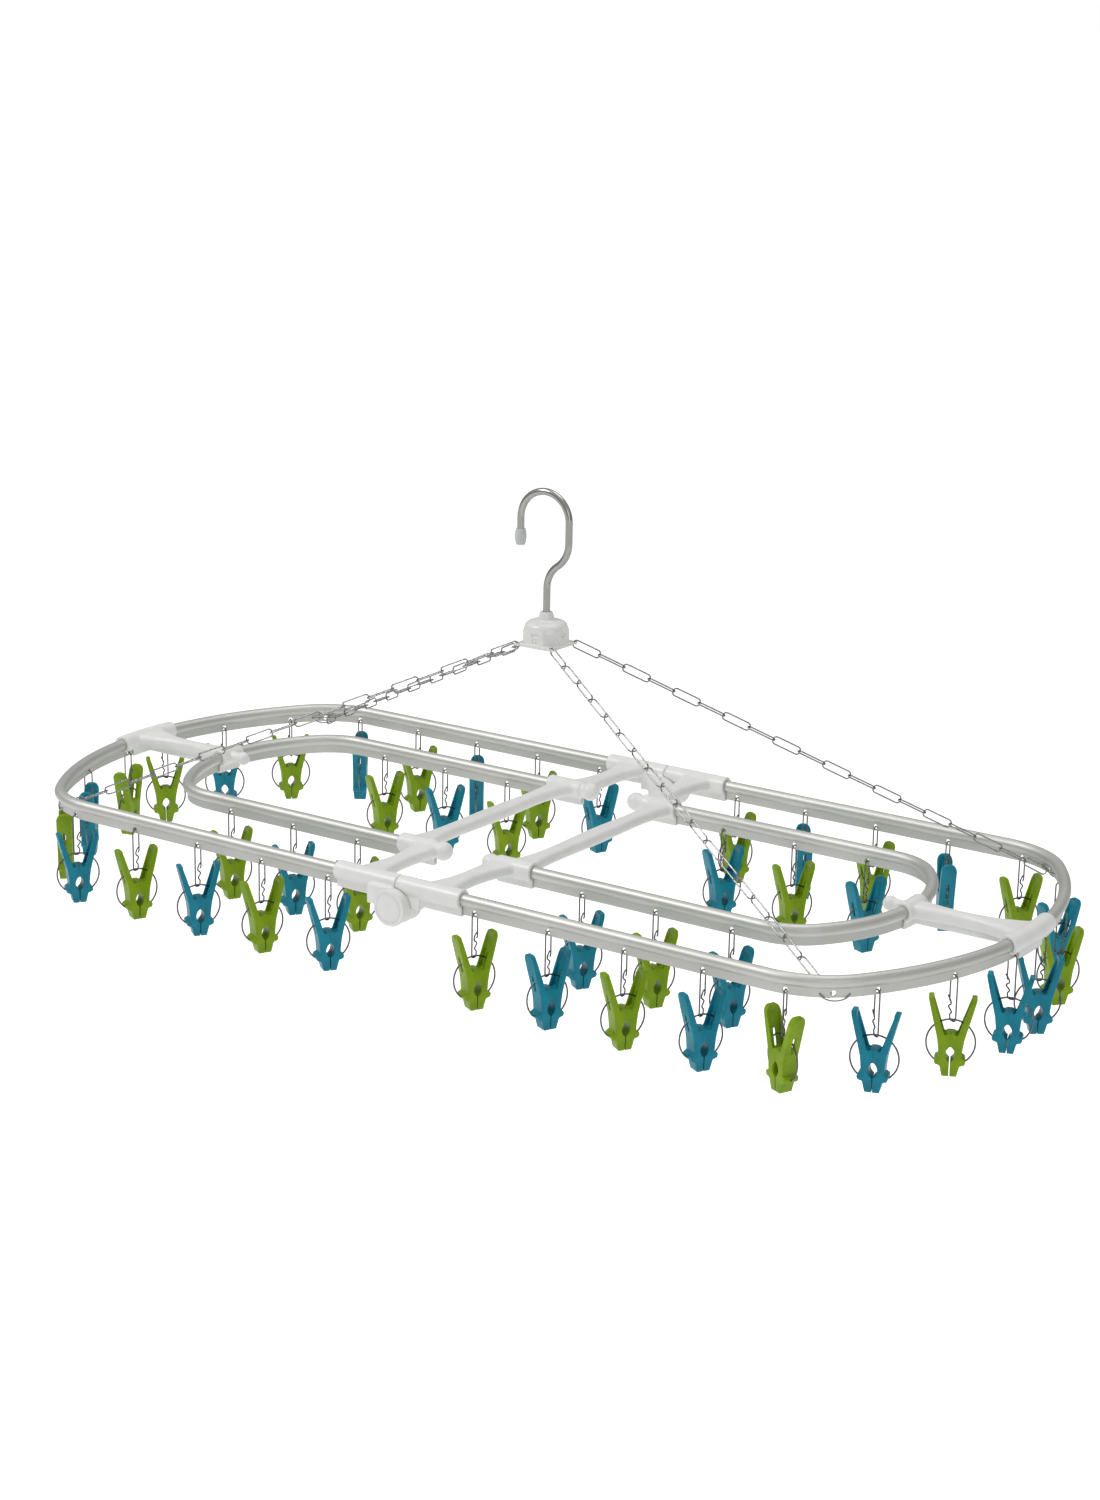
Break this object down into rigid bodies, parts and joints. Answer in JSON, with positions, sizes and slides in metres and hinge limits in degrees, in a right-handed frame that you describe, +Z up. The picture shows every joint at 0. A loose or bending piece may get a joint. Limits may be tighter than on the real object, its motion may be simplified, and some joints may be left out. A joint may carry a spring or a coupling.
{
  "type": "clip drying hanger",
  "caption": "Folding drying hanger: two concentric oval tube rings with rows of spring clips, hinged across the middle and hung by chains from a swivel hook.",
  "frame": {"origin": "the point inside the hook's bend that rests on the pole, in line with the stem", "axes": "+X along the long side of the rings, +Y from front to back, +Z up"},
  "size_m": [0.9965, 0.4606, 0.4004],
  "materials": {
    "ring_aluminium": "satin anodised",
    "hook_aluminium": "bright drawn",
    "chain_steel": "bright plated wire",
    "frame_plastic": "semi-gloss moulded",
    "hub_plastic": "semi-gloss moulded, slightly translucent",
    "tip_plastic": "matte moulded",
    "pin_plastic": "semi-gloss moulded",
    "clip_green": "glossy, slightly translucent",
    "clip_blue": "glossy, slightly translucent",
    "clip_wire": "bright spring wire"
  },
  "bodies": {
    "hook": {"hook_rod": "hook_aluminium", "hook_tip_cap": "tip_plastic"},
    "hub": {"swivel_hub": "hub_plastic"},
    "centre": {"hinge_pins": "pin_plastic"},
    "left_half": {"outer_tube_left": "ring_aluminium", "inner_tube_left": "ring_aluminium", "centre_frame_left": "frame_plastic", "end_brace_left": "frame_plastic"},
    "chain_left_upper": {"chain_left_upper": "chain_steel"},
    "chain_left_lower": {"chain_left_lower": "chain_steel"},
    "right_half": {"outer_tube_right": "ring_aluminium", "inner_tube_right": "ring_aluminium", "centre_frame_right": "frame_plastic", "end_brace_right": "frame_plastic"},
    "chain_right_upper": {"chain_right_upper": "chain_steel"},
    "chain_right_lower": {"chain_right_lower": "chain_steel"},
    "clip_left_back_1": {"clip_left_back_1": "clip_blue"},
    "clip_left_back_2": {"clip_left_back_2": "clip_green"},
    "clip_left_back_3": {"clip_left_back_3": "clip_blue"},
    "clip_left_back_4": {"clip_left_back_4": "clip_green"},
    "clip_left_back_5": {"clip_left_back_5": "clip_blue"},
    "clip_left_back_6": {"clip_left_back_6": "clip_green"},
    "clip_left_back_7": {"clip_left_back_7": "clip_blue"},
    "clip_left_back_8": {"clip_left_back_8": "clip_green"},
    "clip_left_front_1": {"clip_left_front_1": "clip_blue"},
    "clip_left_front_2": {"clip_left_front_2": "clip_green"},
    "clip_left_front_3": {"clip_left_front_3": "clip_blue"},
    "clip_left_front_4": {"clip_left_front_4": "clip_green"},
    "clip_left_front_5": {"clip_left_front_5": "clip_blue"},
    "clip_left_front_6": {"clip_left_front_6": "clip_green"},
    "clip_left_front_7": {"clip_left_front_7": "clip_blue"},
    "clip_left_front_8": {"clip_left_front_8": "clip_green"},
    "clip_left_inner_back_1": {"clip_left_inner_back_1": "clip_green"},
    "clip_left_inner_back_2": {"clip_left_inner_back_2": "clip_blue"},
    "clip_left_inner_back_3": {"clip_left_inner_back_3": "clip_green"},
    "clip_left_inner_front_1": {"clip_left_inner_front_1": "clip_green"},
    "clip_left_inner_front_2": {"clip_left_inner_front_2": "clip_blue"},
    "clip_left_inner_front_3": {"clip_left_inner_front_3": "clip_green"},
    "clip_right_back_1": {"clip_right_back_1": "clip_green"},
    "clip_right_back_2": {"clip_right_back_2": "clip_blue"},
    "clip_right_back_3": {"clip_right_back_3": "clip_green"},
    "clip_right_back_4": {"clip_right_back_4": "clip_blue"},
    "clip_right_back_5": {"clip_right_back_5": "clip_green"},
    "clip_right_back_6": {"clip_right_back_6": "clip_blue"},
    "clip_right_back_7": {"clip_right_back_7": "clip_green"},
    "clip_right_front_1": {"clip_right_front_1": "clip_green"},
    "clip_right_front_2": {"clip_right_front_2": "clip_blue"},
    "clip_right_front_3": {"clip_right_front_3": "clip_green"},
    "clip_right_front_4": {"clip_right_front_4": "clip_blue"},
    "clip_right_front_5": {"clip_right_front_5": "clip_green"},
    "clip_right_front_6": {"clip_right_front_6": "clip_blue"},
    "clip_right_front_7": {"clip_right_front_7": "clip_green"},
    "clip_right_inner_back_1": {"clip_right_inner_back_1": "clip_blue"},
    "clip_right_inner_back_2": {"clip_right_inner_back_2": "clip_green"},
    "clip_right_inner_back_3": {"clip_right_inner_back_3": "clip_blue"},
    "clip_right_inner_front_1": {"clip_right_inner_front_1": "clip_blue"},
    "clip_right_inner_front_2": {"clip_right_inner_front_2": "clip_green"},
    "clip_right_inner_front_3": {"clip_right_inner_front_3": "clip_blue"},
    "clips_right_end_pair": {"clips_right_end_pair": "clip_blue"},
    "clip_right_front_2_arm": {"clip_right_front_2_arm": "clip_blue"}
  },
  "joints": [
    {"name": "hub_swivel", "type": "hinge", "parent": "hook", "child": "hub", "pos_m": [0, 0, -0.1319], "axis": [0, 0, 1], "continuous": true},
    {"name": "centre_lift", "type": "slide", "parent": "hub", "child": "centre", "axis": [0, 0, 1], "range_m": [0, 0.15695]},
    {"name": "left_fold", "type": "hinge", "parent": "centre", "child": "left_half", "pos_m": [0, 0, -0.3178], "axis": [0, -1, 0], "range_deg": [0, 70]},
    {"name": "chain_left_swing", "type": "hinge", "parent": "hub", "child": "chain_left_upper", "pos_m": [-0.01732, 0, -0.1319], "axis": [0, -1, 0], "range_deg": [0, 44.63], "deforming": ["chain_left_upper"]},
    {"name": "chain_left_bend", "type": "hinge", "parent": "chain_left_upper", "child": "chain_left_lower", "pos_m": [-0.24311, 0, -0.23695], "axis": [0, -1, 0], "range_deg": [0, 7.89], "deforming": ["chain_left_lower"]},
    {"name": "right_fold", "type": "hinge", "parent": "centre", "child": "right_half", "pos_m": [0, 0, -0.3178], "axis": [0, 1, 0], "range_deg": [0, 70]},
    {"name": "chain_right_swing", "type": "hinge", "parent": "hub", "child": "chain_right_upper", "pos_m": [0.01732, 0, -0.1319], "axis": [0, 1, 0], "range_deg": [0, 44.63], "deforming": ["chain_right_upper"]},
    {"name": "chain_right_bend", "type": "hinge", "parent": "chain_right_upper", "child": "chain_right_lower", "pos_m": [0.24311, 0, -0.23695], "axis": [0, 1, 0], "range_deg": [0, 7.89], "deforming": ["chain_right_lower"]},
    {"name": "clip_left_back_1_hang", "type": "hinge", "parent": "left_half", "child": "clip_left_back_1", "pos_m": [-0.078, 0.21, -0.31], "axis": [0, 1, 0], "range_deg": [0, 70]},
    {"name": "clip_left_back_2_hang", "type": "hinge", "parent": "left_half", "child": "clip_left_back_2", "pos_m": [-0.152, 0.21, -0.31], "axis": [0, 1, 0], "range_deg": [0, 70]},
    {"name": "clip_left_back_3_hang", "type": "hinge", "parent": "left_half", "child": "clip_left_back_3", "pos_m": [-0.226, 0.21, -0.31], "axis": [0, 1, 0], "range_deg": [0, 70]},
    {"name": "clip_left_back_4_hang", "type": "hinge", "parent": "left_half", "child": "clip_left_back_4", "pos_m": [-0.3, 0.21, -0.31], "axis": [0, 1, 0], "range_deg": [0, 70]},
    {"name": "clip_left_back_5_hang", "type": "hinge", "parent": "left_half", "child": "clip_left_back_5", "pos_m": [-0.37392, 0.20865, -0.31002], "axis": [0, 1, 0], "range_deg": [0, 70]},
    {"name": "clip_left_back_6_hang", "type": "hinge", "parent": "left_half", "child": "clip_left_back_6", "pos_m": [-0.43104, 0.16544, -0.31227], "axis": [0, 1, 0], "range_deg": [0, 70]},
    {"name": "clip_left_back_7_hang", "type": "hinge", "parent": "left_half", "child": "clip_left_back_7", "pos_m": [-0.4634, 0.09909, -0.31325], "axis": [0, 1, 0], "range_deg": [0, 70]},
    {"name": "clip_left_back_8_hang", "type": "hinge", "parent": "left_half", "child": "clip_left_back_8", "pos_m": [-0.47881, 0.0269, -0.31381], "axis": [0, 1, 0], "range_deg": [0, 70]},
    {"name": "clip_left_front_1_hang", "type": "hinge", "parent": "left_half", "child": "clip_left_front_1", "pos_m": [-0.078, -0.21, -0.31], "axis": [0, 1, 0], "range_deg": [0, 70]},
    {"name": "clip_left_front_2_hang", "type": "hinge", "parent": "left_half", "child": "clip_left_front_2", "pos_m": [-0.152, -0.21, -0.31], "axis": [0, 1, 0], "range_deg": [0, 70]},
    {"name": "clip_left_front_3_hang", "type": "hinge", "parent": "left_half", "child": "clip_left_front_3", "pos_m": [-0.226, -0.21, -0.31], "axis": [0, 1, 0], "range_deg": [0, 70]},
    {"name": "clip_left_front_4_hang", "type": "hinge", "parent": "left_half", "child": "clip_left_front_4", "pos_m": [-0.3, -0.21, -0.31], "axis": [0, 1, 0], "range_deg": [0, 70]},
    {"name": "clip_left_front_5_hang", "type": "hinge", "parent": "left_half", "child": "clip_left_front_5", "pos_m": [-0.37392, -0.20865, -0.31002], "axis": [0, 1, 0], "range_deg": [0, 70]},
    {"name": "clip_left_front_6_hang", "type": "hinge", "parent": "left_half", "child": "clip_left_front_6", "pos_m": [-0.43104, -0.16544, -0.31227], "axis": [0, 1, 0], "range_deg": [0, 70]},
    {"name": "clip_left_front_7_hang", "type": "hinge", "parent": "left_half", "child": "clip_left_front_7", "pos_m": [-0.4634, -0.09909, -0.31325], "axis": [0, 1, 0], "range_deg": [0, 70]},
    {"name": "clip_left_front_8_hang", "type": "hinge", "parent": "left_half", "child": "clip_left_front_8", "pos_m": [-0.47881, -0.0269, -0.31381], "axis": [0, 1, 0], "range_deg": [0, 70]},
    {"name": "clip_left_inner_back_1_hang", "type": "hinge", "parent": "left_half", "child": "clip_left_inner_back_1", "pos_m": [-0.121, 0.115, -0.31], "axis": [0, 1, 0], "range_deg": [0, 70]},
    {"name": "clip_left_inner_back_2_hang", "type": "hinge", "parent": "left_half", "child": "clip_left_inner_back_2", "pos_m": [-0.195, 0.115, -0.31], "axis": [0, 1, 0], "range_deg": [0, 70]},
    {"name": "clip_left_inner_back_3_hang", "type": "hinge", "parent": "left_half", "child": "clip_left_inner_back_3", "pos_m": [-0.269, 0.115, -0.31], "axis": [0, 1, 0], "range_deg": [0, 70]},
    {"name": "clip_left_inner_front_1_hang", "type": "hinge", "parent": "left_half", "child": "clip_left_inner_front_1", "pos_m": [-0.121, -0.115, -0.31], "axis": [0, 1, 0], "range_deg": [0, 70]},
    {"name": "clip_left_inner_front_2_hang", "type": "hinge", "parent": "left_half", "child": "clip_left_inner_front_2", "pos_m": [-0.195, -0.115, -0.31], "axis": [0, 1, 0], "range_deg": [0, 70]},
    {"name": "clip_left_inner_front_3_hang", "type": "hinge", "parent": "left_half", "child": "clip_left_inner_front_3", "pos_m": [-0.269, -0.115, -0.31], "axis": [0, 1, 0], "range_deg": [0, 70]},
    {"name": "clip_right_back_1_hang", "type": "hinge", "parent": "right_half", "child": "clip_right_back_1", "pos_m": [0.078, 0.21, -0.31], "axis": [0, -1, 0], "range_deg": [0, 70]},
    {"name": "clip_right_back_2_hang", "type": "hinge", "parent": "right_half", "child": "clip_right_back_2", "pos_m": [0.152, 0.21, -0.31], "axis": [0, -1, 0], "range_deg": [0, 70]},
    {"name": "clip_right_back_3_hang", "type": "hinge", "parent": "right_half", "child": "clip_right_back_3", "pos_m": [0.226, 0.21, -0.31], "axis": [0, -1, 0], "range_deg": [0, 70]},
    {"name": "clip_right_back_4_hang", "type": "hinge", "parent": "right_half", "child": "clip_right_back_4", "pos_m": [0.3, 0.21, -0.31], "axis": [0, -1, 0], "range_deg": [0, 70]},
    {"name": "clip_right_back_5_hang", "type": "hinge", "parent": "right_half", "child": "clip_right_back_5", "pos_m": [0.37392, 0.20865, -0.31002], "axis": [0, -1, 0], "range_deg": [0, 70]},
    {"name": "clip_right_back_6_hang", "type": "hinge", "parent": "right_half", "child": "clip_right_back_6", "pos_m": [0.43104, 0.16544, -0.31227], "axis": [0, -1, 0], "range_deg": [0, 70]},
    {"name": "clip_right_back_7_hang", "type": "hinge", "parent": "right_half", "child": "clip_right_back_7", "pos_m": [0.4634, 0.09909, -0.31325], "axis": [0, -1, 0], "range_deg": [0, 70]},
    {"name": "clip_right_front_1_hang", "type": "hinge", "parent": "right_half", "child": "clip_right_front_1", "pos_m": [0.078, -0.21, -0.31], "axis": [0, -1, 0], "range_deg": [0, 70]},
    {"name": "clip_right_front_2_hang", "type": "hinge", "parent": "right_half", "child": "clip_right_front_2", "pos_m": [0.152, -0.21, -0.31], "axis": [0, -1, 0], "range_deg": [0, 70]},
    {"name": "clip_right_front_3_hang", "type": "hinge", "parent": "right_half", "child": "clip_right_front_3", "pos_m": [0.226, -0.21, -0.31], "axis": [0, -1, 0], "range_deg": [0, 70]},
    {"name": "clip_right_front_4_hang", "type": "hinge", "parent": "right_half", "child": "clip_right_front_4", "pos_m": [0.3, -0.21, -0.31], "axis": [0, -1, 0], "range_deg": [0, 70]},
    {"name": "clip_right_front_5_hang", "type": "hinge", "parent": "right_half", "child": "clip_right_front_5", "pos_m": [0.37392, -0.20865, -0.31002], "axis": [0, -1, 0], "range_deg": [0, 70]},
    {"name": "clip_right_front_6_hang", "type": "hinge", "parent": "right_half", "child": "clip_right_front_6", "pos_m": [0.43104, -0.16544, -0.31227], "axis": [0, -1, 0], "range_deg": [0, 70]},
    {"name": "clip_right_front_7_hang", "type": "hinge", "parent": "right_half", "child": "clip_right_front_7", "pos_m": [0.4634, -0.09909, -0.31325], "axis": [0, -1, 0], "range_deg": [0, 70]},
    {"name": "clip_right_inner_back_1_hang", "type": "hinge", "parent": "right_half", "child": "clip_right_inner_back_1", "pos_m": [0.121, 0.115, -0.31], "axis": [0, -1, 0], "range_deg": [0, 70]},
    {"name": "clip_right_inner_back_2_hang", "type": "hinge", "parent": "right_half", "child": "clip_right_inner_back_2", "pos_m": [0.195, 0.115, -0.31], "axis": [0, -1, 0], "range_deg": [0, 70]},
    {"name": "clip_right_inner_back_3_hang", "type": "hinge", "parent": "right_half", "child": "clip_right_inner_back_3", "pos_m": [0.269, 0.115, -0.31], "axis": [0, -1, 0], "range_deg": [0, 70]},
    {"name": "clip_right_inner_front_1_hang", "type": "hinge", "parent": "right_half", "child": "clip_right_inner_front_1", "pos_m": [0.121, -0.115, -0.31], "axis": [0, -1, 0], "range_deg": [0, 70]},
    {"name": "clip_right_inner_front_2_hang", "type": "hinge", "parent": "right_half", "child": "clip_right_inner_front_2", "pos_m": [0.195, -0.115, -0.31], "axis": [0, -1, 0], "range_deg": [0, 70]},
    {"name": "clip_right_inner_front_3_hang", "type": "hinge", "parent": "right_half", "child": "clip_right_inner_front_3", "pos_m": [0.269, -0.115, -0.31], "axis": [0, -1, 0], "range_deg": [0, 70]},
    {"name": "clip_right_end_pair_hang", "type": "hinge", "parent": "right_half", "child": "clips_right_end_pair", "pos_m": [0.47881, 0, -0.31381], "axis": [0, -1, 0], "range_deg": [0, 70]},
    {"name": "clip_jaw_open", "type": "hinge", "parent": "clip_right_front_2", "child": "clip_right_front_2_arm", "pos_m": [0.152, -0.21, -0.3604], "axis": [0.9135, -0.4067, 0], "range_deg": [0, 12], "stiffness_Nm_per_rad": 0.35, "springref_deg": -20.05}
  ],
  "couplings": [
    {"joint": "centre_lift", "follows": "left_fold", "m_per_rad": 0.12847},
    {"joint": "chain_left_swing", "follows": "left_fold", "ratio": 0.63758},
    {"joint": "chain_left_bend", "follows": "left_fold", "ratio": 0.11271},
    {"joint": "right_fold", "follows": "left_fold", "ratio": 1},
    {"joint": "chain_right_swing", "follows": "left_fold", "ratio": 0.63758},
    {"joint": "chain_right_bend", "follows": "left_fold", "ratio": 0.11271},
    {"joint": "clip_left_back_1_hang", "follows": "left_fold", "ratio": 1},
    {"joint": "clip_left_back_2_hang", "follows": "left_fold", "ratio": 1},
    {"joint": "clip_left_back_3_hang", "follows": "left_fold", "ratio": 1},
    {"joint": "clip_left_back_4_hang", "follows": "left_fold", "ratio": 1},
    {"joint": "clip_left_back_5_hang", "follows": "left_fold", "ratio": 1},
    {"joint": "clip_left_back_6_hang", "follows": "left_fold", "ratio": 1},
    {"joint": "clip_left_back_7_hang", "follows": "left_fold", "ratio": 1},
    {"joint": "clip_left_back_8_hang", "follows": "left_fold", "ratio": 1},
    {"joint": "clip_left_front_1_hang", "follows": "left_fold", "ratio": 1},
    {"joint": "clip_left_front_2_hang", "follows": "left_fold", "ratio": 1},
    {"joint": "clip_left_front_3_hang", "follows": "left_fold", "ratio": 1},
    {"joint": "clip_left_front_4_hang", "follows": "left_fold", "ratio": 1},
    {"joint": "clip_left_front_5_hang", "follows": "left_fold", "ratio": 1},
    {"joint": "clip_left_front_6_hang", "follows": "left_fold", "ratio": 1},
    {"joint": "clip_left_front_7_hang", "follows": "left_fold", "ratio": 1},
    {"joint": "clip_left_front_8_hang", "follows": "left_fold", "ratio": 1},
    {"joint": "clip_left_inner_back_1_hang", "follows": "left_fold", "ratio": 1},
    {"joint": "clip_left_inner_back_2_hang", "follows": "left_fold", "ratio": 1},
    {"joint": "clip_left_inner_back_3_hang", "follows": "left_fold", "ratio": 1},
    {"joint": "clip_left_inner_front_1_hang", "follows": "left_fold", "ratio": 1},
    {"joint": "clip_left_inner_front_2_hang", "follows": "left_fold", "ratio": 1},
    {"joint": "clip_left_inner_front_3_hang", "follows": "left_fold", "ratio": 1},
    {"joint": "clip_right_back_1_hang", "follows": "left_fold", "ratio": 1},
    {"joint": "clip_right_back_2_hang", "follows": "left_fold", "ratio": 1},
    {"joint": "clip_right_back_3_hang", "follows": "left_fold", "ratio": 1},
    {"joint": "clip_right_back_4_hang", "follows": "left_fold", "ratio": 1},
    {"joint": "clip_right_back_5_hang", "follows": "left_fold", "ratio": 1},
    {"joint": "clip_right_back_6_hang", "follows": "left_fold", "ratio": 1},
    {"joint": "clip_right_back_7_hang", "follows": "left_fold", "ratio": 1},
    {"joint": "clip_right_front_1_hang", "follows": "left_fold", "ratio": 1},
    {"joint": "clip_right_front_2_hang", "follows": "left_fold", "ratio": 1},
    {"joint": "clip_right_front_3_hang", "follows": "left_fold", "ratio": 1},
    {"joint": "clip_right_front_4_hang", "follows": "left_fold", "ratio": 1},
    {"joint": "clip_right_front_5_hang", "follows": "left_fold", "ratio": 1},
    {"joint": "clip_right_front_6_hang", "follows": "left_fold", "ratio": 1},
    {"joint": "clip_right_front_7_hang", "follows": "left_fold", "ratio": 1},
    {"joint": "clip_right_inner_back_1_hang", "follows": "left_fold", "ratio": 1},
    {"joint": "clip_right_inner_back_2_hang", "follows": "left_fold", "ratio": 1},
    {"joint": "clip_right_inner_back_3_hang", "follows": "left_fold", "ratio": 1},
    {"joint": "clip_right_inner_front_1_hang", "follows": "left_fold", "ratio": 1},
    {"joint": "clip_right_inner_front_2_hang", "follows": "left_fold", "ratio": 1},
    {"joint": "clip_right_inner_front_3_hang", "follows": "left_fold", "ratio": 1},
    {"joint": "clip_right_end_pair_hang", "follows": "left_fold", "ratio": 1}
  ]
}
